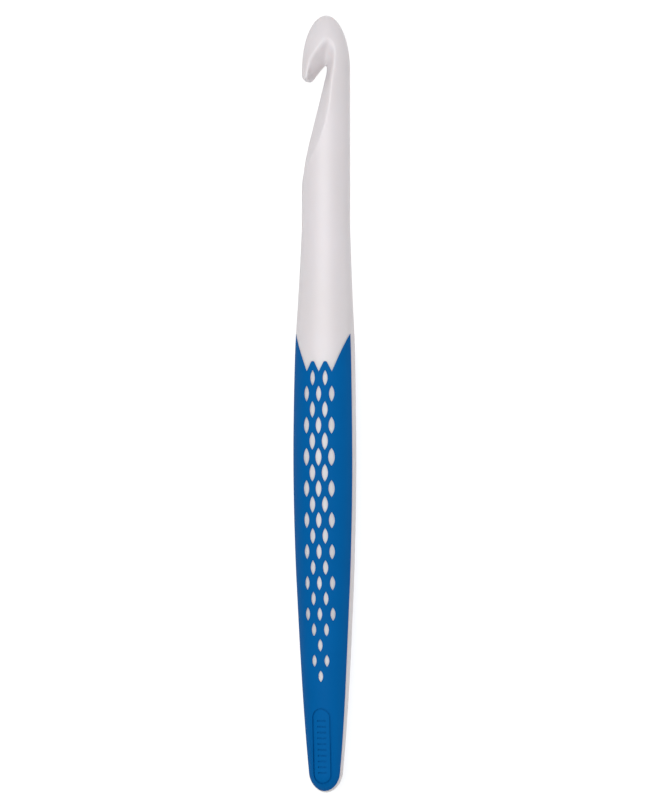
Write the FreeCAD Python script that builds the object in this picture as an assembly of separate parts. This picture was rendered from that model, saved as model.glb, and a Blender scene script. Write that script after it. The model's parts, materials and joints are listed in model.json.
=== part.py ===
import FreeCAD, Part
import math
import os

# Crochet hook lying on its back. A rigid moulded core is the head, the round shank and the
# inside of the handle, and a soft grip panel covers the handle's front and another its back.
# +Y points to the head, the hook's mouth opens towards -X, and +Z is up, out of the front.
# A station is a distance from the head's tip towards the butt. All sizes are in millimetres.

# Whole hook
LENGTH = 160.8
SHANK_RADIUS = 5.0
HEAD_LENGTH = 11.3
SHOULDER_RADIUS = 4.98
GAUGE_START = 39.5
SHANK_END = 44.0

# Handle: half its width at stations from the shank to where the butt's rounding starts
HANDLE_HALF_WIDTHS = [
    (SHANK_END, SHANK_RADIUS),
    (52.0, 5.33),
    (60.0, 5.72),
    (67.0, 6.1),
    (75.5, 6.34),
    (89.0, 6.51),
    (100.5, 6.44),
    (113.0, 6.13),
    (125.0, 5.62),
    (134.0, 5.17),
    (142.0, 4.69),
    (150.0, 4.12),
]
BUTT_LENGTH = 4.0
BUTT_HALF_WIDTH = 3.54
BUTT_TAPER = 0.09
BUTT_ANGLES = (0, 30, 55, 75)
HANDLE_FLATNESS = 0.06
FLATNESS_START = 48.0
FLATNESS_END = 76.0
ARCH_HEIGHT = 1.1
ARCH_SKEW = 0.7

# Mouth of the hook: its outline from the lip's outside, round the lip, up to the top of the
# notch and down the throat. Each point has its place across and its station on the mid-plane,
# then how far it has moved in those two ways at MOUTH_FLARE_HEIGHT in front of and behind it.
MOUTH = [
    (-6.2, 12.2, 0.0, 0.0),
    (-4.9, 13.0, 0.0, -0.9),
    (-4.25, 13.7, 0.2, -1.1),
    (-3.55, 13.93, 0.4, -1.0),
    (-3.0, 13.6, -0.2, -1.8),
    (-2.05, 12.5, -0.9, -3.0),
    (-1.06, 11.28, -0.6, -3.3),
    (-0.25, 10.45, 0.4, -4.6),
    (0.1, 10.35, 1.6, -7.0),
    (0.28, 10.9, 3.0, -6.6),
    (0.2, 12.0, 2.9, -3.4),
    (-0.45, 14.6, 2.5, -0.6),
    (-1.84, 20.0, 2.8, 0.0),
    (-3.79, 27.85, 2.2, 0.0),
    (-4.62, 33.0, 1.4, 0.0),
    (-5.25, 41.0, 0.0, 0.0),
]
MOUTH_FLARE_HEIGHT = 4.6
MOUTH_HALF_DEPTH = 5.4
MOUTH_CLEARANCE = 9.0

# Soft grip panels
GRIP_THICKNESS = 1.2
SIDE_BAND_HALF_HEIGHT = 1.95
SIDE_BAND_BUTT_HALF_HEIGHT = 1.4
SIDE_BAND_TAPER_START = 125.0
TOOTH_PITCH = 2.64
NOTCH_STATION = 73.7
TOOTH_STATION = 71.0
TOOTH_TIP_RADIUS = 0.45
SPIKE_STATION = 65.9
SPIKE_HALF_WIDTH = 5.75
PLAN_CLEARANCE = 2.0
BAND_STATIONS = (44.0, 48.0, 60.0, 75.0, 90.0, 110.0, 130.0, 150.0, 165.8)

# Windows in the soft grips, in rows that hold the columns beside the middle in turn
WINDOW_FIRST_STATION = 75.0
WINDOW_PITCH = 3.253
LOW_WINDOW_PITCH = 3.21
LAST_WIDE_PITCH_ROW = 13
WINDOW_COLUMN_PITCH = 1.32
WINDOW_ROWS = 20
WIDEST_ROW = 6
NARROW_ROWS = (18, 20)
WINDOW_LENGTH_FIRST = 3.2
WINDOW_LENGTH_MAX = 3.75
WINDOW_LENGTH_STEP = 0.095
WINDOW_WIDTH_FIRST = 1.0
WINDOW_WIDTH_MAX = 1.3
WINDOW_WIDTH_STEP = 0.037
WINDOW_WIDTH_LEAST = 0.97
WINDOW_PAD_RECESS = 0.1

# Plain mark on the front grip near the butt: a raised frame, a groove, and a face with a row of
# even sunk bars
MARK_START = 142.9
MARK_END = 159.1
MARK_HALF_WIDTH = 2.2
MARK_RIM_WIDTH = 0.22
MARK_RIM_HEIGHT = 0.12
GROOVE_WIDTH = 0.34
GROOVE_DEPTH = 0.25
FACE_HEIGHT = 0.06
BAR_COUNT = 10
FIRST_BAR_STATION = 145.6
BAR_PITCH = 1.2
BAR_WIDTH = 0.3
BAR_HALF_LENGTH = 0.9

TALL = 20.0
X_AXIS = FreeCAD.Vector(1, 0, 0)
Y_AXIS = FreeCAD.Vector(0, 1, 0)
Z_AXIS = FreeCAD.Vector(0, 0, 1)


def place(across, station, height=0.0):
    """Point at a station, measured from the shank's axis."""
    return FreeCAD.Vector(across, LENGTH / 2 - station, height)


def smooth_step(value, start, end):
    """0 before start, 1 after end, with no kink between them."""
    share = min(max((value - start) / (end - start), 0.0), 1.0)
    return share * share * (3 - 2 * share)


def depth_ratio(station):
    """Half depth of the handle over its half width."""
    return 1 - HANDLE_FLATNESS * smooth_step(station, FLATNESS_START, FLATNESS_END)


def arch(station):
    """Height of the handle's centre line above the shank's axis, so that its back is straight."""
    if station <= FLATNESS_START:
        return 0.0
    share = (station - SHANK_END) / (LENGTH - SHANK_END)
    return ARCH_HEIGHT * math.sin(math.pi * share ** ARCH_SKEW) ** 2


# Solids of the whole outline

def head_and_shank():
    """Bullet-shaped head on a shank that ends in a true cylinder of the hook's size."""
    tip = place(0, 0)
    shoulder = place(SHOULDER_RADIUS, HEAD_LENGTH)
    gauge = place(SHANK_RADIUS, GAUGE_START)
    foot = place(SHANK_RADIUS, SHANK_END)
    centre = place(0, SHANK_END)
    ellipse = Part.Ellipse(tip, shoulder, place(0, HEAD_LENGTH))
    start, end = sorted(ellipse.parameter(point) for point in (tip, shoulder))
    bullet = Part.ArcOfEllipse(ellipse, start, end).toShape()
    corners = [shoulder, gauge, foot, centre, tip]
    sides = [Part.makeLine(corners[index], corners[index + 1]) for index in range(4)]
    outline = Part.Wire(Part.__sortEdges__([bullet] + sides))
    return Part.Face(outline).revolve(place(0, 0), Y_AXIS, 360)


def handle_profile(inset):
    """Half-width curve from the shank to the butt's end, moved inwards by inset."""
    points = [place(half_width, station) for station, half_width in HANDLE_HALF_WIDTHS]
    for angle in BUTT_ANGLES:
        along = BUTT_LENGTH * math.sin(math.radians(angle))
        taper = BUTT_HALF_WIDTH - BUTT_TAPER * along
        points.append(place(taper * math.cos(math.radians(angle)), LENGTH - BUTT_LENGTH + along))
    points.append(place(0, LENGTH))
    outer = Part.BSplineCurve()
    outer.interpolate(Points=points, InitialTangent=-Y_AXIS, FinalTangent=-X_AXIS)
    if inset == 0:
        return outer
    moved = []
    for point in points:
        tangent = outer.tangent(outer.parameter(point))[0]
        moved.append(point + FreeCAD.Vector(tangent.y, -tangent.x, 0) * inset)
    inner = Part.BSplineCurve()
    inner.interpolate(Points=moved, InitialTangent=-Y_AXIS, FinalTangent=-X_AXIS)
    return inner


def handle_quarter(profile, quarter):
    """Skin of a quarter of the handle, an exact elliptical arc at every station."""
    middle = math.pi / 2 * quarter
    arc_poles = [
        (math.cos(middle - math.pi / 4), math.sin(middle - math.pi / 4), 1.0),
        (math.cos(middle) * math.sqrt(2), math.sin(middle) * math.sqrt(2), math.sqrt(0.5)),
        (math.cos(middle + math.pi / 4), math.sin(middle + math.pi / 4), 1.0),
    ]
    rows = []
    weights = []
    for cosine, sine, weight in arc_poles:
        row = []
        for pole in profile.getPoles():
            station = LENGTH / 2 - pole.y
            height = pole.x * sine * depth_ratio(station) + arch(station)
            row.append(FreeCAD.Vector(pole.x * cosine, pole.y, height))
        rows.append(row)
        weights.append([weight] * len(row))
    skin = Part.BSplineSurface()
    skin.buildFromPolesMultsKnots(
        rows, [3, 3], profile.getMultiplicities(), [0, 1], profile.getKnots(),
        False, False, 2, profile.Degree, weights,
    )
    return skin.toShape()


def handle(inset):
    """Solid handle, smaller all over by inset, or larger where inset is negative."""
    profile = handle_profile(inset)
    faces = [handle_quarter(profile, quarter) for quarter in range(4)]
    rim = Part.makeCircle(SHANK_RADIUS - inset, place(0, SHANK_END), Y_AXIS)
    faces.append(Part.Face(Part.Wire(rim)))
    shell = Part.makeShell(faces)
    shell.sewShape()
    return Part.makeSolid(Part.Shell(shell.Faces))


def mouth_cutter():
    """Tool that opens the mouth: narrow on the mid-plane and flared towards front and back."""
    share = (MOUTH_HALF_DEPTH / MOUTH_FLARE_HEIGHT) ** 2
    mid = [place(across, station) for across, station, _, _ in MOUTH]
    end = [
        place(across + share * out, station + share * along)
        for across, station, out, along in MOUTH
    ]
    runs = [mid[index].distanceToPoint(mid[index - 1]) for index in range(1, len(mid))]
    parameters = [sum(runs[:index]) for index in range(len(mid))]
    curves = []
    for points in (mid, end):
        curve = Part.BSplineCurve()
        curve.interpolate(Points=points, Parameters=parameters)
        curves.append(curve)
    mid_curve, end_curve = curves
    lift = Z_AXIS * MOUTH_HALF_DEPTH
    back_row = [pole - lift for pole in end_curve.getPoles()]
    front_row = [pole + lift for pole in end_curve.getPoles()]
    mid_row = [2 * a - b for a, b in zip(mid_curve.getPoles(), end_curve.getPoles())]
    rows = [back_row, mid_row, front_row]
    wall = Part.BSplineSurface()
    wall.buildFromPolesMultsKnots(
        rows, [3, 3], mid_curve.getMultiplicities(), [0, 1], mid_curve.getKnots(),
        False, False, 2, mid_curve.Degree, [[1.0] * len(row) for row in rows],
    )
    faces = [wall.toShape()]
    first, last = mid[0], mid[-1]
    far_last = FreeCAD.Vector(-MOUTH_CLEARANCE, last.y, 0)
    far_first = FreeCAD.Vector(-MOUTH_CLEARANCE, first.y, 0)
    edges = [
        Part.makeLine(last, far_last),
        Part.makeLine(far_last, far_first),
        Part.makeLine(far_first, first),
    ]
    for edge in edges:
        edge.translate(-lift)
        faces.append(edge.extrude(2 * lift))
    for side in (-1, 1):
        border = end_curve.toShape()
        border.translate(lift * side)
        flat = [border]
        for edge in edges:
            copy = edge.copy()
            copy.translate(lift * (side + 1))
            flat.append(copy)
        faces.append(Part.Face(Part.Wire(Part.__sortEdges__(flat))))
    shell = Part.makeShell(faces)
    shell.sewShape()
    return Part.makeSolid(Part.Shell(shell.Faces))


# Outlines in the hook's plan, as prisms that reach through its whole depth

def prism(edges):
    """Upright prism on a closed outline."""
    face = Part.Face(Part.Wire(edges))
    face.translate(-Z_AXIS * TALL)
    return face.extrude(Z_AXIS * 2 * TALL)


def polygon(points):
    """Edges of a closed outline of straight lines."""
    closed = points + points[:1]
    return [Part.makeLine(closed[index], closed[index + 1]) for index in range(len(points))]


def lens_window(across, station, length, width):
    """Window between two arcs that meet in a point at each end."""
    top = place(across, station - length / 2)
    right = place(across + width / 2, station)
    bottom = place(across, station + length / 2)
    left = place(across - width / 2, station)
    return prism([Part.Arc(top, right, bottom).toShape(), Part.Arc(bottom, left, top).toShape()])


def racetrack(across, start, end, half_width):
    """Prism on a long outline with half-round ends."""
    left, right = across - half_width, across + half_width
    a, b = place(left, start + half_width), place(right, start + half_width)
    c, d = place(right, end - half_width), place(left, end - half_width)
    top = Part.Arc(a, place(across, start), b).toShape()
    bottom = Part.Arc(c, place(across, end), d).toShape()
    return prism([top, Part.makeLine(b, c), bottom, Part.makeLine(d, a)])


def block(left, right, start, end):
    """Prism on a rectangle."""
    corners = [place(left, start), place(right, start), place(right, end), place(left, end)]
    return prism(polygon(corners))


def window_prisms():
    """Every window, as one list."""
    prisms = []
    for row in range(1, WINDOW_ROWS + 1):
        wide_steps = min(row, LAST_WIDE_PITCH_ROW) - 1
        low_steps = max(row - LAST_WIDE_PITCH_ROW, 0)
        station = WINDOW_FIRST_STATION + WINDOW_PITCH * wide_steps + LOW_WINDOW_PITCH * low_steps
        if row % 2:
            columns = (-1, 1)
        elif row in NARROW_ROWS:
            columns = (0,)
        else:
            columns = (-2, 0, 2)
        rise = (min(row, WIDEST_ROW) - 1) / (WIDEST_ROW - 1)
        past = max(row - WIDEST_ROW, 0)
        length = WINDOW_LENGTH_FIRST + (WINDOW_LENGTH_MAX - WINDOW_LENGTH_FIRST) * rise
        length -= WINDOW_LENGTH_STEP * past
        width = WINDOW_WIDTH_FIRST + (WINDOW_WIDTH_MAX - WINDOW_WIDTH_FIRST) * rise
        width = max(width - WINDOW_WIDTH_STEP * past, WINDOW_WIDTH_LEAST)
        for column in columns:
            prisms.append(lens_window(WINDOW_COLUMN_PITCH * column, station, length, width))
    return prisms


def tooth_edges(middle):
    """The two sides and the round tip of a tooth on the grip's upper border."""
    half = TOOTH_PITCH / 2
    slope = math.atan2(half, NOTCH_STATION - TOOTH_STATION)
    reach = TOOTH_TIP_RADIUS / math.tan(slope)
    along = TOOTH_STATION + reach * math.cos(slope)
    tip = TOOTH_STATION + TOOTH_TIP_RADIUS * (1 / math.sin(slope) - 1)
    left = place(middle - reach * math.sin(slope), along)
    right = place(middle + reach * math.sin(slope), along)
    start = place(middle - half, NOTCH_STATION)
    end = place(middle + half, NOTCH_STATION)
    round_tip = Part.Arc(left, place(middle, tip), right).toShape()
    return [Part.makeLine(start, left), round_tip, Part.makeLine(right, end)]


def grip_plan():
    """Prism on a grip's outline: two long spikes, three notches and two teeth at the top."""
    run = (SPIKE_HALF_WIDTH - TOOTH_PITCH) / (NOTCH_STATION - SPIKE_STATION)
    beyond = SPIKE_HALF_WIDTH + PLAN_CLEARANCE
    above = SPIKE_STATION - PLAN_CLEARANCE / run
    below = LENGTH + PLAN_CLEARANCE
    left_notch = place(-TOOTH_PITCH, NOTCH_STATION)
    right_notch = place(TOOTH_PITCH, NOTCH_STATION)
    corners = [
        right_notch,
        place(beyond, above),
        place(beyond, below),
        place(-beyond, below),
        place(-beyond, above),
        left_notch,
    ]
    sides = [Part.makeLine(corners[index], corners[index + 1]) for index in range(5)]
    teeth = tooth_edges(-TOOTH_PITCH / 2) + tooth_edges(TOOTH_PITCH / 2)
    return prism(teeth + sides)


def side_band():
    """Slab between the two grips, bent along the handle's centre line and thinner at the butt."""
    borders = []
    for side in (-1, 1):
        points = []
        for station in BAND_STATIONS:
            share = smooth_step(station, SIDE_BAND_TAPER_START, LENGTH)
            half = SIDE_BAND_HALF_HEIGHT
            half += (SIDE_BAND_BUTT_HALF_HEIGHT - SIDE_BAND_HALF_HEIGHT) * share
            points.append(place(-TALL, station, arch(min(station, LENGTH)) + side * half))
        border = Part.BSplineCurve()
        border.interpolate(points)
        borders.append((border.toShape(), points[0], points[-1]))
    (lower, lower_start, lower_end), (upper, upper_start, upper_end) = borders
    ends = [Part.makeLine(lower_end, upper_end), Part.makeLine(upper_start, lower_start)]
    outline = Part.Wire(Part.__sortEdges__([lower, upper] + ends))
    return Part.Face(outline).extrude(X_AXIS * 2 * TALL)


def raised(prisms, height):
    """What the prisms hold of a layer that stands proud of the handle's front by height."""
    layer = handle(-height).cut(handle(GRIP_THICKNESS / 2))
    front = Part.makeBox(2 * TALL, LENGTH, TALL, FreeCAD.Vector(-TALL, -LENGTH / 2, 0))
    return layer.common(front).common(Part.makeCompound(prisms))


def mark_loop(inset):
    """The mark's outline as a prism, drawn in by inset."""
    return racetrack(0, MARK_START + inset, MARK_END - inset, MARK_HALF_WIDTH - inset)


def raised_mark():
    """Raised frame and face of the mark."""
    rim = mark_loop(0).cut(mark_loop(MARK_RIM_WIDTH))
    face = mark_loop(MARK_RIM_WIDTH + GROOVE_WIDTH)
    return [raised([rim], MARK_RIM_HEIGHT), raised([face], FACE_HEIGHT)]


def mark_lines():
    """What the groove and the row of plain bars take from the front grip."""
    lines = [mark_loop(MARK_RIM_WIDTH).cut(mark_loop(MARK_RIM_WIDTH + GROOVE_WIDTH))]
    for index in range(BAR_COUNT):
        start = FIRST_BAR_STATION + index * BAR_PITCH
        lines.append(block(-BAR_HALF_LENGTH, BAR_HALF_LENGTH, start, start + BAR_WIDTH))
    return Part.makeCompound(lines).cut(handle(GROOVE_DEPTH))


# The three pieces

def build():
    """The core and the two grips, on the shank's axis."""
    outside = head_and_shank().fuse(handle(0)).removeSplitter()
    skin = handle(0).cut(handle(GRIP_THICKNESS))
    wrap = skin.common(grip_plan()).cut(side_band())
    windows = Part.makeCompound(window_prisms())
    pads = handle(WINDOW_PAD_RECESS).common(windows)
    core = outside.cut(mouth_cutter()).cut(wrap).fuse(pads)
    panels = wrap.cut(windows).Solids
    panels.sort(key=lambda solid: solid.CenterOfMass.z)
    back_grip, front_grip = panels
    front_grip = front_grip.fuse(raised_mark()).cut(mark_lines())
    return {
        "hook_core": core,
        "front_soft_grip": front_grip,
        "back_soft_grip": back_grip,
    }


os.makedirs("parts", exist_ok=True)
nodes = build()
lowest = Part.makeCompound(list(nodes.values())).optimalBoundingBox().ZMin
for name, shape in nodes.items():
    shape.translate(-Z_AXIS * lowest)
    shape.exportStep("parts/" + name + ".step")
    print(name, shape.ShapeType, len(shape.Solids), shape.isValid(), round(shape.Volume, 1))
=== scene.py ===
"""Looks of a thick crochet hook: a white moulded core with blue soft grips on its handle.

The hook lies on its back with its head towards +Y, its mouth open towards -X and its front up.
Shapes are worked out in millimetres from the shank's axis, with stations measured from the head's
tip towards the butt, and each finished mesh is then scaled to metres and set on the frame's axis.
"""

import json
import logging
import math
from dataclasses import dataclass, field
from enum import Enum
from typing import Iterable, Sequence

import bmesh
import bpy
from mathutils import Matrix, Vector


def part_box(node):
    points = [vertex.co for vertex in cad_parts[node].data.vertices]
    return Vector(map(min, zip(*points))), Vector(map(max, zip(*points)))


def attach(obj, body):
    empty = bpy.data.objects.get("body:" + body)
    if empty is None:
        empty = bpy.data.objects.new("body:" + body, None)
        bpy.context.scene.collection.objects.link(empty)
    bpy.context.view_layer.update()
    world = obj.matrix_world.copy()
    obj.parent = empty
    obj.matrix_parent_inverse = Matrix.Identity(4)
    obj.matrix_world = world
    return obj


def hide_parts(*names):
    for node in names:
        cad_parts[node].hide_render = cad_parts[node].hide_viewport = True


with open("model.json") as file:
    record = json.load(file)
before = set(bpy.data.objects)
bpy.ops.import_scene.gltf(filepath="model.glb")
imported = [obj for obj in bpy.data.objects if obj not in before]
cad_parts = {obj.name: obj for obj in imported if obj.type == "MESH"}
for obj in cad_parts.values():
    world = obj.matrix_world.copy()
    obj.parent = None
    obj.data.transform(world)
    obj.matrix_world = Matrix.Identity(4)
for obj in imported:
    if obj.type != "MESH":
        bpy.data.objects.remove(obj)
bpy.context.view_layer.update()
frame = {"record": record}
LOG = logging.getLogger("crochet_hook")

MM = 0.001
# In millimetres: edges shorter than this are closed up, this height or depth is past the hook on
# every side, and a cutting tool runs this far past what it cuts.
SLIVER = 0.0005
TALL = 20.0
BEYOND = 1.0
ROUND_END_STEPS = 16
SHARP_ANGLE = 35.0
BODY = "root"

Outline = list[tuple[float, float]]


# --------------------------------------------------------------------------------------------
# Small helpers


def axis_height() -> float:
    """Height of the shank's axis over the table, in millimetres, from the gauge mount."""
    mounts = {mount["name"]: mount for mount in frame["record"]["mounts"]}
    return mounts["gauge_shank"]["pos_m"][2] / MM


def hook_length() -> float:
    """Length of the whole hook in millimetres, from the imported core."""
    low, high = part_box("hook_core")
    return (high.y - low.y) / MM


LENGTH = hook_length()


def smooth_step(value: float, start: float, end: float) -> float:
    """Share of the way from start to end, with no kink at either.

    Args:
        value: where the share is wanted.
        start: where it is still 0.
        end: where it reaches 1.

    Returns:
        The share, from 0 to 1.
    """
    share = min(max((value - start) / (end - start), 0.0), 1.0)
    return share * share * (3 - 2 * share)


def curve_through(points: Sequence[Sequence[float]], steps: int) -> list[tuple[float, ...]]:
    """Smooth curve through every point of a list.

    Args:
        points: the points, each a tuple of any length.
        steps: how many pieces each stretch between two points is cut into.

    Returns:
        The points of the curve, the given ones among them.
    """
    ends = [points[0]] + list(points) + [points[-1]]
    found = []
    for index in range(1, len(ends) - 2):
        before, start, end, after = ends[index - 1 : index + 3]
        for step in range(steps):
            t = step / steps
            found.append(tuple(
                0.5 * (
                    2 * b + (c - a) * t + (2 * a - 5 * b + 4 * c - d) * t * t
                    + (3 * b - a - 3 * c + d) * t ** 3
                )
                for a, b, c, d in zip(before, start, end, after)
            ))
    found.append(tuple(points[-1]))
    return found


def linear(hex_colour: str) -> tuple[float, float, float, float]:
    """Linear colour of an sRGB hex value.

    Args:
        hex_colour: the colour, such as "#0464A8".

    Returns:
        Red, green, blue and a full alpha.
    """
    channels = [int(hex_colour[place : place + 2], 16) / 255 for place in (1, 3, 5)]
    curve = [c / 12.92 if c <= 0.04045 else ((c + 0.055) / 1.055) ** 2.4 for c in channels]
    return (*curve, 1.0)


# --------------------------------------------------------------------------------------------
# Solids


class Join(Enum):
    """How a tool changes a solid."""

    ADD = "UNION"
    REMOVE = "DIFFERENCE"
    KEEP = "INTERSECT"


def as_object(mesh: bmesh.types.BMesh, name: str) -> bpy.types.Object:
    """A new object that holds a mesh.

    Args:
        mesh: the mesh, which is freed.
        name: the object's name.

    Returns:
        The object, in the scene.
    """
    data = bpy.data.meshes.new(name)
    mesh.to_mesh(data)
    mesh.free()
    item = bpy.data.objects.new(name, data)
    bpy.context.scene.collection.objects.link(item)
    return item


def apply_modifiers(item: bpy.types.Object) -> None:
    """Fixes an object's modifiers in its mesh.

    Args:
        item: the object, which is left with no modifier.
    """
    bpy.context.view_layer.update()
    seen = item.evaluated_get(bpy.context.evaluated_depsgraph_get())
    done = bpy.data.meshes.new_from_object(seen)
    old = item.data
    item.modifiers.clear()
    item.data = done
    bpy.data.meshes.remove(old)


def combine(item: bpy.types.Object, tool: bpy.types.Object, how: Join, keep: bool = False) -> None:
    """Adds, removes or keeps what a tool holds of a solid.

    Args:
        item: the solid that changes.
        tool: the solid that changes it.
        how: what happens to the shared space.
        keep: whether the tool is still needed afterwards.
    """
    change = item.modifiers.new(how.name, "BOOLEAN")
    change.operation = how.value
    change.object = tool
    change.solver = "MANIFOLD"
    apply_modifiers(item)
    if not keep:
        bpy.data.meshes.remove(tool.data)


def at_station(across: float, station: float, height: float = 0.0) -> Vector:
    """Point at a station, measured from the shank's axis."""
    return Vector((across, LENGTH / 2 - station, height))


def prism(outline: Outline, low: float, high: float) -> bmesh.types.BMesh:
    """Upright prism on an outline of points across and along the hook.

    Args:
        outline: the corners, each across and at a station.
        low: height of the bottom.
        high: height of the top.

    Returns:
        The closed prism, with its normals outwards.
    """
    mesh = bmesh.new()
    floor = mesh.faces.new([mesh.verts.new(at_station(a, s, low)) for a, s in outline])
    risen = bmesh.ops.extrude_face_region(mesh, geom=[floor])["geom"]
    corners = [part for part in risen if isinstance(part, bmesh.types.BMVert)]
    bmesh.ops.translate(mesh, verts=corners, vec=(0, 0, high - low))
    bmesh.ops.triangulate(mesh, faces=mesh.faces[:])
    bmesh.ops.recalc_face_normals(mesh, faces=mesh.faces[:])
    return mesh


def gather(meshes: Iterable[bmesh.types.BMesh]) -> bmesh.types.BMesh:
    """One mesh that holds several separate ones.

    Args:
        meshes: the separate ones, which are freed.

    Returns:
        The mesh that holds them all.
    """
    whole = bmesh.new()
    for mesh in meshes:
        data = bpy.data.meshes.new("part")
        mesh.to_mesh(data)
        mesh.free()
        whole.from_mesh(data)
        bpy.data.meshes.remove(data)
    return whole


def arc(centre: Sequence[float], radius: float, start: float, end: float, steps: int) -> Outline:
    """Points of an arc.

    Args:
        centre: its centre, across and at a station.
        radius: its radius.
        start: where it starts, in degrees from +X towards the butt.
        end: where it ends, in the same way.
        steps: how many pieces it is cut into.

    Returns:
        The points, both ends among them.
    """
    found = []
    for step in range(steps + 1):
        angle = math.radians(start + (end - start) * step / steps)
        found.append((centre[0] + radius * math.cos(angle), centre[1] + radius * math.sin(angle)))
    return found


def racetrack(start: float, end: float, half_width: float) -> Outline:
    """Long outline with half-round ends, in the middle of the handle.

    Args:
        start: station of the end nearer the head.
        end: station of the end nearer the butt.
        half_width: half its width.

    Returns:
        The outline.
    """
    top = arc((0, start + half_width), half_width, 180, 360, ROUND_END_STEPS)
    bottom = arc((0, end - half_width), half_width, 0, 180, ROUND_END_STEPS)
    return top + bottom


def block(left: float, right: float, start: float, end: float) -> Outline:
    """Rectangle across and along the handle."""
    return [(left, start), (right, start), (right, end), (left, end)]


# --------------------------------------------------------------------------------------------
# The hook's outer form


@dataclass(frozen=True)
class HookForm:
    """Outer form that the core and the grips share, in millimetres."""

    shank_radius: float = 5.0
    head_length: float = 11.3
    shoulder_radius: float = 4.98
    gauge_start: float = 39.5
    shank_end: float = 44.0
    half_widths: tuple[tuple[float, float], ...] = (
        (44.0, 5.0), (52.0, 5.33), (60.0, 5.72), (67.0, 6.1), (75.5, 6.34), (89.0, 6.51),
        (100.5, 6.44), (113.0, 6.13), (125.0, 5.62), (134.0, 5.17), (142.0, 4.69), (150.0, 4.12),
    )
    butt_length: float = 4.0
    butt_half_width: float = 3.54
    butt_taper: float = 0.09
    flatness: float = 0.06
    flat_from: float = 48.0
    flat_to: float = 76.0
    arch_height: float = 1.1
    arch_skew: float = 0.7
    around: int = 128
    head_steps: int = 32
    handle_steps: int = 10
    butt_steps: int = 20

    def head_profile(self) -> Outline:
        """Profile of the head and the round shank.

        Returns:
            Half widths and stations, from the head's tip to the end of the round shank.
        """
        found = []
        for step in range(self.head_steps + 1):
            angle = math.radians(90 * step / self.head_steps)
            found.append((
                self.shoulder_radius * math.sin(angle), self.head_length * (1 - math.cos(angle))
            ))
        run = self.shank_end - self.head_length
        for step in range(1, self.head_steps + 1):
            station = self.head_length + run * step / self.head_steps
            share = min((station - self.head_length) / (self.gauge_start - self.head_length), 1.0)
            growth = (self.shank_radius - self.shoulder_radius) * share
            found.append((self.shoulder_radius + growth, station))
        return found

    def handle_profile(self) -> Outline:
        """Profile of the handle.

        Returns:
            Half widths and stations, from the shank's end to the butt's pole.
        """
        butt_start = LENGTH - self.butt_length
        stations = [(station, width) for station, width in self.half_widths]
        stations.append((butt_start, self.butt_half_width))
        found = [(width, station) for station, width in curve_through(stations, self.handle_steps)]
        for step in range(1, self.butt_steps + 1):
            angle = math.radians(90 * step / self.butt_steps)
            along = self.butt_length * math.sin(angle)
            width = (self.butt_half_width - self.butt_taper * along) * math.cos(angle)
            found.append((max(width, 0.0), butt_start + along))
        return found

    def depth_ratio(self, station: float) -> float:
        """Half depth over half width."""
        return 1 - self.flatness * smooth_step(station, self.flat_from, self.flat_to)

    def arch(self, station: float) -> float:
        """Height of the centre line above the shank's axis.

        Args:
            station: where along the hook.

        Returns:
            The height.
        """
        if station <= self.shank_end:
            return 0.0
        share = min((station - self.shank_end) / (LENGTH - self.shank_end), 1.0)
        return self.arch_height * math.sin(math.pi * share ** self.arch_skew) ** 2

    def revolve(self, profile: Outline, grow: float) -> bmesh.types.BMesh:
        """Body on a profile, flattened and arched as the handle is.

        Args:
            profile: half widths and stations.
            grow: how far the skin is moved outwards, or inwards where it is negative.

        Returns:
            The closed body.
        """
        moved = []
        for index, (width, station) in enumerate(profile):
            before, after = profile[max(index - 1, 0)], profile[min(index + 1, len(profile) - 1)]
            slope = Vector((after[0] - before[0], after[1] - before[1])).normalized()
            moved.append((max(width + slope.y * grow, 0.0), station - slope.x * grow))
        for end, near in ((0, 1), (-1, -2)):
            if profile[end][0] == 0.0:
                outwards = math.copysign(1, profile[end][1] - profile[near][1])
                moved[end] = (0.0, profile[end][1] + outwards * grow)
            else:
                moved.insert(0 if end == 0 else len(moved), (0.0, moved[end][1]))
        mesh = bmesh.new()
        chain = [mesh.verts.new(at_station(width, station)) for width, station in moved]
        links = [mesh.edges.new(pair) for pair in zip(chain, chain[1:])]
        bmesh.ops.spin(
            mesh, geom=chain + links, cent=(0, 0, 0), axis=(0, 1, 0), angle=math.tau,
            steps=self.around, use_merge=True,
        )
        bmesh.ops.remove_doubles(mesh, verts=mesh.verts[:], dist=0.0005)
        for vertex in mesh.verts:
            station = LENGTH / 2 - vertex.co.y
            vertex.co.z = vertex.co.z * self.depth_ratio(station) + self.arch(station)
        bmesh.ops.recalc_face_normals(mesh, faces=mesh.faces[:])
        return mesh

    def body(self, grow: float = 0.0) -> bmesh.types.BMesh:
        """Whole body from the head's tip to the butt."""
        return self.revolve(self.head_profile() + self.handle_profile()[1:], grow)

    def handle(self, grow: float) -> bmesh.types.BMesh:
        """The handle alone, with a flat end at the shank."""
        return self.revolve(self.handle_profile(), grow)


FORM = HookForm()


def finish_piece(item: bpy.types.Object, sharp_angle: float) -> bpy.types.Object:
    """Scales a finished piece to metres, sets it on the frame's axis and shades it.

    Args:
        item: the piece, in millimetres from the shank's axis.
        sharp_angle: edges that turn by more than this many degrees stay sharp.

    Returns:
        The same piece.
    """
    mesh = bmesh.new()
    mesh.from_mesh(item.data)
    bmesh.ops.dissolve_degenerate(mesh, edges=mesh.edges[:], dist=SLIVER)
    bmesh.ops.recalc_face_normals(mesh, faces=mesh.faces[:])
    mesh.to_mesh(item.data)
    mesh.free()
    item.data.transform(Matrix.Scale(MM, 4) @ Matrix.Translation((0, 0, axis_height())))
    item.data.shade_smooth()
    item.data.set_sharp_from_angle(angle=math.radians(sharp_angle))
    return item


# --------------------------------------------------------------------------------------------
# Soft grips


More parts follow.
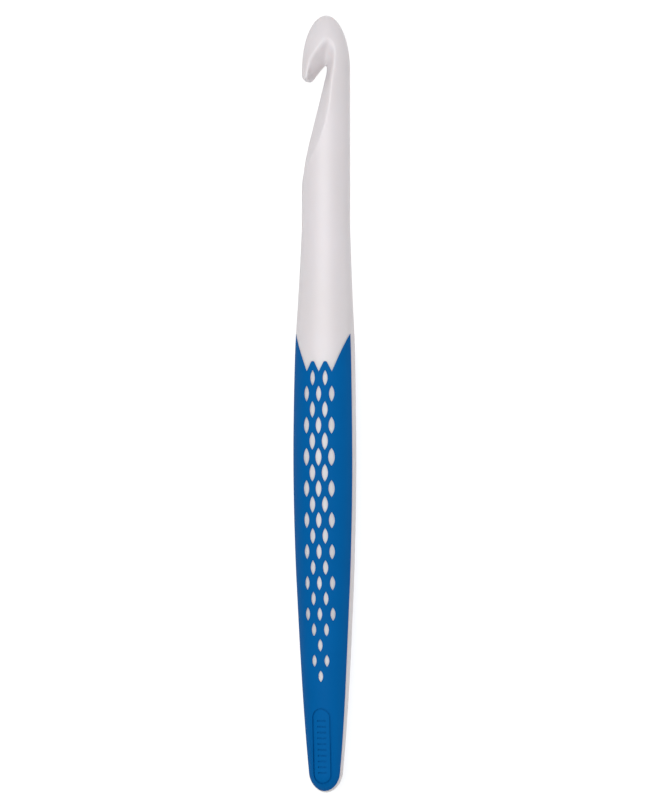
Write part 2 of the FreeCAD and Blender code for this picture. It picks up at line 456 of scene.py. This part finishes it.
@dataclass(frozen=True)
class Windows:
    """Rows of windows cut through a soft grip, in millimetres."""

    first_station: float = 75.0
    pitch: float = 3.253
    low_pitch: float = 3.21
    last_wide_pitch_row: int = 13
    column_pitch: float = 1.32
    rows: int = 20
    widest_row: int = 6
    single_rows: tuple[int, ...] = (18, 20)
    first_size: tuple[float, float] = (3.2, 1.0)
    widest_size: tuple[float, float] = (3.75, 1.3)
    shrink: tuple[float, float] = (0.095, 0.037)
    least_width: float = 0.97
    arc_steps: int = 14

    def columns(self, row: int) -> tuple[int, ...]:
        """Columns that a row fills.

        Args:
            row: the row, counted from 1 at the top.

        Returns:
            The columns, counted from the middle.
        """
        if row % 2:
            return (-1, 1)
        return (0,) if row in self.single_rows else (-2, 0, 2)

    def lens(self, length: float, width: float) -> Outline:
        """Outline between two arcs that meet in a point at each end.

        Args:
            length: from point to point.
            width: across the middle.

        Returns:
            The outline, around the origin.
        """
        radius = (length * length + width * width) / (4 * width)
        offset = radius - width / 2
        spread = math.degrees(math.asin(length / 2 / radius))
        right = arc((-offset, 0), radius, -spread, spread, self.arc_steps)
        left = arc((offset, 0), radius, 180 - spread, 180 + spread, self.arc_steps)
        return right + left[1:-1]

    def outlines(self) -> list[Outline]:
        """Every window's outline.

        Returns:
            The outlines, row by row from the top.
        """
        found = []
        for row in range(1, self.rows + 1):
            wide_steps = min(row, self.last_wide_pitch_row) - 1
            low_steps = max(row - self.last_wide_pitch_row, 0)
            station = self.first_station + self.pitch * wide_steps + self.low_pitch * low_steps
            rise = (min(row, self.widest_row) - 1) / (self.widest_row - 1)
            past = max(row - self.widest_row, 0)
            length, width = (
                first + (widest - first) * rise - step * past
                for first, widest, step in zip(self.first_size, self.widest_size, self.shrink)
            )
            shape = self.lens(length, max(width, self.least_width))
            for column in self.columns(row):
                across = column * self.column_pitch
                found.append([(a + across, s + station) for a, s in shape])
        return found

    def columns_through(self) -> bpy.types.Object:
        """Every window as an upright column through the whole handle."""
        return as_object(gather(prism(shape, -TALL, TALL) for shape in self.outlines()), "windows")


class Side(Enum):
    """Which side of the handle a grip covers."""

    FRONT = 1
    BACK = -1


@dataclass(frozen=True)
class PlainMark:
    """Mark near the butt: a raised frame, a groove and a face with a row of even bars, in mm."""

    start: float = 142.9
    end: float = 159.1
    half_width: float = 2.2
    rim_width: float = 0.22
    rim_height: float = 0.12
    groove_width: float = 0.34
    groove_depth: float = 0.25
    face_height: float = 0.06
    bar_count: int = 10
    first_bar_station: float = 145.6
    bar_pitch: float = 1.2
    bar_width: float = 0.3
    bar_half_length: float = 0.9
    root_depth: float = 0.6

    def loop(self, inset: float) -> Outline:
        """The frame's outline, drawn in by an inset."""
        return racetrack(self.start + inset, self.end - inset, self.half_width - inset)

    def ring(self, outer: Outline, inner: Outline) -> bpy.types.Object:
        """Upright ring over the handle's middle.

        Args:
            outer: its outer outline.
            inner: its inner outline.

        Returns:
            The ring.
        """
        whole = as_object(prism(outer, 0.0, TALL), "ring")
        combine(whole, as_object(prism(inner, -BEYOND, TALL + BEYOND), "hollow"), Join.REMOVE)
        return whole

    def raised(self) -> list[bpy.types.Object]:
        """What stands on the panel's skin.

        Returns:
            The frame and the face.
        """
        rim = self.ring(self.loop(0.0), self.loop(self.rim_width))
        face = as_object(prism(self.loop(self.rim_width + self.groove_width), 0.0, TALL), "face")
        for layer, height in ((rim, self.rim_height), (face, self.face_height)):
            combine(layer, as_object(FORM.handle(height), "skin"), Join.KEEP)
            combine(layer, as_object(FORM.handle(-self.root_depth), "root"), Join.REMOVE)
        return [rim, face]

    def sunk(self) -> list[bpy.types.Object]:
        """What is cut into the panel's skin.

        Returns:
            The groove and the row of bars.
        """
        groove = self.ring(self.loop(self.rim_width), self.loop(self.rim_width + self.groove_width))
        first, pitch = self.first_bar_station, self.bar_pitch
        starts = [first + index * pitch for index in range(self.bar_count)]
        half = self.bar_half_length
        bars = gather(
            prism(block(-half, half, start, start + self.bar_width), 0.0, TALL) for start in starts
        )
        cuts = [groove, as_object(bars, "bars")]
        for cut in cuts:
            combine(cut, as_object(FORM.handle(-self.groove_depth), "bed"), Join.REMOVE)
        return cuts


@dataclass
class SoftGrip:
    """Soft panel over one side of the handle, in millimetres."""

    side: Side
    mark: PlainMark | None = None
    windows: Windows = field(default_factory=Windows)
    thickness: float = 1.2
    stand: float = 0.06
    tooth_pitch: float = 2.64
    notch_station: float = 73.7
    tooth_station: float = 71.0
    tooth_radius: float = 0.45
    spike_station: float = 65.9
    spike_half_width: float = 5.75
    band_half_height: float = 1.95
    band_butt_half_height: float = 1.4
    band_taper_start: float = 125.0
    tooth_steps: int = 8
    edge_steps: int = 80
    side_overrun: float = 2.0
    end_overrun: float = 5.0

    @property
    def node(self) -> str:
        """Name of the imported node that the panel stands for."""
        return f"{self.side.name.lower()}_soft_grip"

    def tooth(self, middle: float) -> Outline:
        """Outline of a round-tipped tooth.

        Args:
            middle: how far across its tip lies.

        Returns:
            The outline, from the notch on its left to its tip's right end.
        """
        half = self.tooth_pitch / 2
        slope = math.atan2(half, self.notch_station - self.tooth_station)
        centre = self.tooth_station + self.tooth_radius / math.sin(slope)
        lean = math.degrees(slope)
        tip = arc((middle, centre), self.tooth_radius, 180 + lean, 360 - lean, self.tooth_steps)
        return [(middle - half, self.notch_station)] + tip

    def plan(self) -> Outline:
        """Outline of the panel.

        Returns:
            Two spikes, three notches and two teeth, then the sides and past the butt.
        """
        run = (self.spike_half_width - self.tooth_pitch) / (self.notch_station - self.spike_station)
        past = self.side_overrun
        beyond, above = self.spike_half_width + past, self.spike_station - past / run
        outline = self.tooth(-self.tooth_pitch / 2) + self.tooth(self.tooth_pitch / 2)
        outline.append((self.tooth_pitch, self.notch_station))
        outline += [(beyond, above), (beyond, LENGTH + past)]
        outline += [(-beyond, LENGTH + past), (-beyond, above)]
        return outline

    def band_edge(self, station: float) -> float:
        """Height of the panel's side edge.

        Args:
            station: where along the hook.

        Returns:
            The height over the shank's axis.
        """
        share = smooth_step(station, self.band_taper_start, LENGTH)
        half = self.band_half_height
        half += (self.band_butt_half_height - self.band_half_height) * share
        return FORM.arch(min(station, LENGTH)) + self.side.value * half

    def side_space(self) -> bmesh.types.BMesh:
        """Everything beyond the panel's side edges, on the panel's side of the hook.

        Returns:
            The closed space.
        """
        mesh = bmesh.new()
        bmesh.ops.create_grid(mesh, x_segments=1, y_segments=self.edge_steps, size=1.0)
        middle = (FORM.shank_end + LENGTH) / 2
        half = (LENGTH - FORM.shank_end) / 2 + self.end_overrun
        for vertex in mesh.verts:
            station = middle - vertex.co.y * half
            vertex.co = at_station(vertex.co.x * TALL, station, self.band_edge(station))
        risen = bmesh.ops.extrude_face_region(mesh, geom=mesh.faces[:])["geom"]
        for part in risen:
            if isinstance(part, bmesh.types.BMVert):
                part.co.z = self.side.value * TALL
        bmesh.ops.recalc_face_normals(mesh, faces=mesh.faces[:])
        return mesh

    def wrap(self) -> bpy.types.Object:
        """The panel before its windows and mark are made.

        Returns:
            The panel, still in millimetres.
        """
        panel = as_object(FORM.handle(self.stand), self.node + "_piece")
        combine(panel, as_object(FORM.handle(-self.thickness), "inside"), Join.REMOVE)
        plan = prism(self.plan(), -TALL, TALL)
        combine(panel, as_object(plan, "plan"), Join.KEEP)
        combine(panel, as_object(self.side_space(), "side_space"), Join.KEEP)
        return panel

    def finish(self, panel: bpy.types.Object) -> None:
        """Cuts the windows of a wrap and adds its mark.

        Args:
            panel: the wrap, which is changed.
        """
        if self.mark:
            for raised in self.mark.raised():
                combine(panel, raised, Join.ADD)
            for sunk in self.mark.sunk():
                combine(panel, sunk, Join.REMOVE)
        combine(panel, self.windows.columns_through(), Join.REMOVE)


# --------------------------------------------------------------------------------------------
# Core


@dataclass
class HookCore:
    """Rigid core: head, mouth, shank and the inside of the handle, in millimetres.

    Each point of the mouth has its place across and its station on the mid-plane, then how far it
    has moved in those two ways at flare_height in front of and behind it.
    """

    mouth: tuple[tuple[float, float, float, float], ...] = (
        (-6.2, 12.2, 0.0, 0.0), (-4.9, 13.0, 0.0, -0.9), (-4.25, 13.7, 0.2, -1.1),
        (-3.55, 13.93, 0.4, -1.0), (-3.0, 13.6, -0.2, -1.8), (-2.05, 12.5, -0.9, -3.0),
        (-1.06, 11.28, -0.6, -3.3), (-0.25, 10.45, 0.4, -4.6), (0.1, 10.35, 1.6, -7.0),
        (0.28, 10.9, 3.0, -6.6), (0.2, 12.0, 2.9, -3.4), (-0.45, 14.6, 2.5, -0.6),
        (-1.84, 20.0, 2.8, 0.0), (-3.79, 27.85, 2.2, 0.0), (-4.62, 33.0, 1.4, 0.0),
        (-5.25, 41.0, 0.0, 0.0),
    )
    flare_height: float = 4.6
    half_depth: float = 5.4
    clearance: float = 9.0
    levels: int = 36
    voxel: float = 0.16
    softening: int = 46
    settle_gap: tuple[float, float] = (0.04, 0.22)
    seam_station: float = 42.0
    pad_recess: float = 0.1
    wall_steps: int = 8
    smoothing: float = 0.5
    seam_margin: float = 1.0
    seam_gap: float = 0.5

    def mouth_cutter(self) -> bmesh.types.BMesh:
        """Tool that opens the mouth: narrow in the middle, flared towards front and back.

        Returns:
            The closed tool.
        """
        wall = curve_through(self.mouth, self.wall_steps)
        first, last = wall[0], wall[-1]
        wall += [(-self.clearance, last[1], 0.0, 0.0), (-self.clearance, first[1], 0.0, 0.0)]
        mesh = bmesh.new()
        flare = mesh.verts.layers.float_vector.new("flare")
        corners = []
        for across, station, out, along in wall:
            vertex = mesh.verts.new(at_station(across, station, -self.half_depth))
            vertex[flare] = (out, -along, 0.0)
            corners.append(vertex)
        links = [mesh.edges.new(pair) for pair in zip(corners, corners[1:] + corners[:1])]
        bmesh.ops.spin(
            mesh, geom=corners + links, cent=(0, 0, 0), axis=(0, 0, 1), angle=0.0,
            dvec=(0, 0, 2 * self.half_depth / self.levels), steps=self.levels,
        )
        bmesh.ops.remove_doubles(mesh, verts=mesh.verts[:], dist=0.0001)
        bmesh.ops.holes_fill(mesh, edges=[edge for edge in mesh.edges if edge.is_boundary])
        for vertex in mesh.verts:
            vertex.co += vertex[flare] * (vertex.co.z / self.flare_height) ** 2
        bmesh.ops.triangulate(mesh, faces=mesh.faces[:])
        bmesh.ops.recalc_face_normals(mesh, faces=mesh.faces[:])
        return mesh

    def head(self) -> bpy.types.Object:
        """Head and shank as far as the seam.

        Returns:
            The head, with the mouth's edges softened.
        """
        head = as_object(FORM.revolve(FORM.head_profile(), 0.0), "head")
        combine(head, as_object(self.mouth_cutter(), "mouth"), Join.REMOVE)
        even = head.modifiers.new("even_mesh", "REMESH")
        even.mode = "VOXEL"
        even.voxel_size = self.voxel
        apply_modifiers(head)
        mesh = bmesh.new()
        mesh.from_mesh(head.data)
        for _ in range(self.softening):
            bmesh.ops.smooth_vert(
                mesh, verts=mesh.verts[:], factor=self.smoothing, use_axis_x=True, use_axis_y=True,
                use_axis_z=True,
            )
        self.settle(mesh)
        mesh.to_mesh(head.data)
        mesh.free()
        return head

    def settle(self, mesh: bmesh.types.BMesh) -> None:
        """Puts points that lie close to the round outside exactly on it.

        Args:
            mesh: the softened head, which is changed.
        """
        radius, length = FORM.shoulder_radius, FORM.head_length
        for vertex in mesh.verts:
            station = LENGTH / 2 - vertex.co.y
            off_axis = Vector((vertex.co.x, vertex.co.z))
            if station > FORM.shank_end - self.seam_margin:
                continue
            if station > length:
                share = min((station - length) / (FORM.gauge_start - length), 1.0)
                target = radius + (FORM.shank_radius - radius) * share
                gap = target - off_axis.length
                pull = 1 - smooth_step(abs(gap), *self.settle_gap)
                off_axis *= 1 + gap * pull / max(off_axis.length, 1e-6)
                vertex.co.x, vertex.co.z = off_axis
            else:
                point = Vector((off_axis.x / radius, (station - length) / length,
                                off_axis.y / radius))
                gap = (1 - point.length) * radius
                pull = 1 - smooth_step(abs(gap), *self.settle_gap)
                point *= 1 + (1 / max(point.length, 1e-6) - 1) * pull
                vertex.co = at_station(point.x * radius, length + point.y * length,
                                       point.z * radius)

    def build(self, wraps: Sequence[bpy.types.Object], windows: Windows) -> bpy.types.Object:
        """The core as one closed piece that leaves room for the grips and fills their windows.

        Args:
            wraps: the soft grips before their windows are cut, in millimetres.
            windows: the windows that the core shows through.

        Returns:
            The core, still in millimetres.
        """
        core = as_object(FORM.body(), "hook_core_piece")
        for wrap in wraps:
            combine(core, wrap, Join.REMOVE, keep=True)
        pads = windows.columns_through()
        combine(pads, as_object(FORM.handle(-self.pad_recess), "pad_skin"), Join.KEEP)
        combine(core, pads, Join.ADD)
        head = self.head()
        seam = at_station(0, self.seam_station)
        mesh = bmesh.new()
        mesh.from_mesh(core.data)
        bmesh.ops.bisect_plane(
            mesh, geom=mesh.verts[:] + mesh.edges[:] + mesh.faces[:], plane_co=seam,
            plane_no=(0, 1, 0), clear_outer=True,
        )
        front = bmesh.new()
        front.from_mesh(head.data)
        bmesh.ops.bisect_plane(
            front, geom=front.verts[:] + front.edges[:] + front.faces[:],
            plane_co=seam + Vector((0, self.seam_gap, 0)), plane_no=(0, -1, 0), clear_outer=True,
        )
        whole = gather([mesh, front])
        rims = [edge for edge in whole.edges if edge.is_boundary]
        bmesh.ops.bridge_loops(whole, edges=rims)
        bmesh.ops.recalc_face_normals(whole, faces=whole.faces[:])
        whole.to_mesh(core.data)
        whole.free()
        bpy.data.meshes.remove(head.data)
        return core


# --------------------------------------------------------------------------------------------
# Finishes


class Shader:
    """Node tree of one material, with a function that adds a node."""

    def __init__(self, name: str) -> None:
        """Starts an empty material.

        Args:
            name: the material's name.
        """
        self.material = bpy.data.materials.new(name)
        self.material.use_nodes = True
        self.tree = self.material.node_tree
        self.tree.nodes.clear()

    def add(self, kind: str, links: dict | None = None, **settings) -> bpy.types.Node:
        """Adds a node.

        Args:
            kind: the node's type, such as "ShaderNodeTexNoise".
            links: an input's name or place, with the output socket that feeds it.
            settings: a property's name, or an input's name with spaces as underscores, and its
                value.

        Returns:
            The new node.
        """
        node = self.tree.nodes.new(kind)
        for name, value in settings.items():
            if hasattr(node, name):
                setattr(node, name, value)
            else:
                node.inputs[name.replace("_", " ")].default_value = value
        for target, source in (links or {}).items():
            self.tree.links.new(source, node.inputs[target])
        return node


@dataclass(frozen=True)
class CorePlastic:
    """Injection-moulded white acetal.

    It gives the eye a soft satin sheen, a slightly cool white that drifts with the melt's flow, and
    ridges that glow a little, because light enters the plastic.
    """

    name: str = "injection_moulded_white_acetal"
    colour: str = "#E6E1E5"
    worn_colour: str = "#DED9DA"
    roughness: float = 0.44
    ior: float = 1.48
    flow_mm: float = 14.0
    grain_mm: float = 0.35

    def build(self) -> bpy.types.Material:
        """Makes the material.

        Returns:
            The material.
        """
        shader = Shader(self.name)
        place = shader.add("ShaderNodeTexCoord").outputs["Object"]
        flow = shader.add(
            "ShaderNodeTexNoise", {"Vector": place}, Scale=1 / (self.flow_mm * MM), Detail=3.0,
            Roughness=0.55,
        )
        tint = shader.add(
            "ShaderNodeMix", {"Factor": flow.outputs["Fac"]}, data_type="RGBA",
        )
        tint.inputs["A"].default_value = linear(self.colour)
        tint.inputs["B"].default_value = linear(self.worn_colour)
        grain = shader.add(
            "ShaderNodeTexNoise", {"Vector": place}, Scale=1 / (self.grain_mm * MM), Detail=4.0,
            Roughness=0.6,
        )
        gloss = shader.add(
            "ShaderNodeMapRange", {"Value": grain.outputs["Fac"]}, To_Min=self.roughness - 0.06,
            To_Max=self.roughness + 0.08,
        )
        bump = shader.add(
            "ShaderNodeBump", {"Height": grain.outputs["Fac"]}, Strength=0.12,
            Distance=0.01 * MM,
        )
        surface = shader.add(
            "ShaderNodeBsdfPrincipled",
            {
                "Base Color": tint.outputs["Result"], "Roughness": gloss.outputs["Result"],
                "Normal": bump.outputs["Normal"],
            },
            IOR=self.ior, Subsurface_Weight=0.6, Subsurface_Scale=2.0 * MM,
            Subsurface_Radius=(1.0, 0.9, 0.85),
        )
        shader.add("ShaderNodeOutputMaterial", {"Surface": surface.outputs["BSDF"]})
        return shader.material


@dataclass(frozen=True)
class SoftGripRubber:
    """Overmoulded blue thermoplastic elastomer with a fine spark-eroded grain.

    It gives the eye a dense matt blue with almost no sheen, and a grain that breaks up the light.
    """

    name: str = "overmoulded_blue_elastomer"
    colour: str = "#0061A6"
    dark_colour: str = "#005A9C"
    specular: float = 0.04
    roughness: float = 0.62
    ior: float = 1.5
    patch_mm: float = 9.0
    grain_mm: float = 0.28

    def build(self) -> bpy.types.Material:
        """Makes the material.

        Returns:
            The material.
        """
        shader = Shader(self.name)
        place = shader.add("ShaderNodeTexCoord").outputs["Object"]
        patches = shader.add(
            "ShaderNodeTexNoise", {"Vector": place}, Scale=1 / (self.patch_mm * MM), Detail=3.0,
            Roughness=0.55,
        )
        tint = shader.add("ShaderNodeMix", {"Factor": patches.outputs["Fac"]}, data_type="RGBA")
        tint.inputs["A"].default_value = linear(self.colour)
        tint.inputs["B"].default_value = linear(self.dark_colour)
        grain = shader.add(
            "ShaderNodeTexNoise", {"Vector": place}, Scale=1 / (self.grain_mm * MM), Detail=5.0,
            Roughness=0.65,
        )
        gloss = shader.add(
            "ShaderNodeMapRange", {"Value": grain.outputs["Fac"]}, To_Min=self.roughness - 0.08,
            To_Max=self.roughness + 0.1,
        )
        bump = shader.add(
            "ShaderNodeBump", {"Height": grain.outputs["Fac"]}, Strength=0.35,
            Distance=0.03 * MM,
        )
        surface = shader.add(
            "ShaderNodeBsdfPrincipled",
            {
                "Base Color": tint.outputs["Result"], "Roughness": gloss.outputs["Result"],
                "Normal": bump.outputs["Normal"],
            },
            IOR=self.ior, Specular_IOR_Level=self.specular,
        )
        shader.add("ShaderNodeOutputMaterial", {"Surface": surface.outputs["BSDF"]})
        return shader.material


# --------------------------------------------------------------------------------------------
# Stage, light and camera


@dataclass(frozen=True)
class Studio:
    """Pale floor, soft light and the camera."""

    view_height: float = 0.16705
    distance: float = 1.0
    turn: float = 12.6
    aim_across: float = -0.00072
    aim_along: float = 0.0001
    world_strength: float = 0.08
    key_power: float = 9.9
    key_size: float = 0.9
    key_place: tuple[float, float, float] = (0.02, 0.1, 0.9)
    floor_glow: float = 0.88
    floor_colour: str = "#7C7C7C"

    def camera(self) -> None:
        """Long lens over the hook, turned a little towards its right side."""
        data = bpy.data.cameras.new("camera")
        data.sensor_width = 36.0
        data.lens = data.sensor_width * self.distance / self.view_height
        data.clip_end = 10.0
        item = bpy.data.objects.new("camera", data)
        bpy.context.scene.collection.objects.link(item)
        turn = math.radians(self.turn)
        right = Vector((math.cos(turn), 0, -math.sin(turn)))
        back = Vector((math.sin(turn), 0, math.cos(turn)))
        target = Vector((0, self.aim_along, axis_height() * MM)) + right * self.aim_across
        turned = Matrix((right, (0, 1, 0), back)).transposed().to_4x4()
        item.matrix_world = Matrix.Translation(target + back * self.distance) @ turned
        bpy.context.scene.camera = item

    def light(self, name: str, place: Vector, size: float, power: float) -> None:
        """Square soft box that faces the hook.

        Args:
            name: the light's name.
            place: where it hangs.
            size: the length of its side.
            power: its power in watts.
        """
        data = bpy.data.lights.new(name, "AREA")
        data.size = size
        data.energy = power
        item = bpy.data.objects.new(name, data)
        item.location = place
        item.rotation_euler = (-place).to_track_quat("-Z", "Y").to_euler()
        bpy.context.scene.collection.objects.link(item)

    def floor(self) -> None:
        """Matt white floor, bright enough that the hook leaves only a faint shadow on it."""
        mesh = bmesh.new()
        bmesh.ops.create_grid(mesh, x_segments=1, y_segments=1, size=3.0)
        item = as_object(mesh, "floor")
        shader = Shader("matt_white_floor")
        surface = shader.add(
            "ShaderNodeBsdfPrincipled", Base_Color=linear(self.floor_colour), Roughness=0.9,
            Emission_Color=(1.0, 1.0, 1.0, 1.0), Emission_Strength=self.floor_glow,
        )
        shader.add("ShaderNodeOutputMaterial", {"Surface": surface.outputs["BSDF"]})
        item.data.materials.append(shader.material)

    def build(self) -> None:
        """Everything around the hook."""
        world = bpy.data.worlds.new("soft_surround")
        world.use_nodes = True
        back = world.node_tree.nodes["Background"]
        back.inputs["Color"].default_value = (1.0, 1.0, 1.0, 1.0)
        back.inputs["Strength"].default_value = self.world_strength
        bpy.context.scene.world = world
        bpy.context.scene.view_settings.view_transform = "Standard"
        self.light("key_light", Vector(self.key_place), self.key_size, self.key_power)
        self.floor()
        self.camera()


# --------------------------------------------------------------------------------------------


def place_piece(item: bpy.types.Object, node: str, finish: bpy.types.Material) -> None:
    """Finishes a piece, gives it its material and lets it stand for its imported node.

    Args:
        item: the piece, in millimetres from the shank's axis.
        node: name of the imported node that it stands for.
        finish: its material.
    """
    finish_piece(item, SHARP_ANGLE)
    item.data.materials.clear()
    item.data.materials.append(finish)
    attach(item, BODY)
    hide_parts(node)
    item.data.calc_loop_triangles()
    LOG.info("%s: %d triangles", item.name, len(item.data.loop_triangles))


def main() -> None:
    """Builds the stage, the grips and the core."""
    logging.basicConfig(level=logging.INFO, format="%(name)s %(message)s")
    Studio().build()
    grips = [SoftGrip(Side.FRONT, PlainMark()), SoftGrip(Side.BACK)]
    panels = [grip.wrap() for grip in grips]
    core = HookCore().build(panels, Windows())
    place_piece(core, "hook_core", CorePlastic().build())
    rubber = SoftGripRubber().build()
    for grip, panel in zip(grips, panels):
        grip.finish(panel)
        place_piece(panel, grip.node, rubber)


if __name__ == "__main__":
    main()
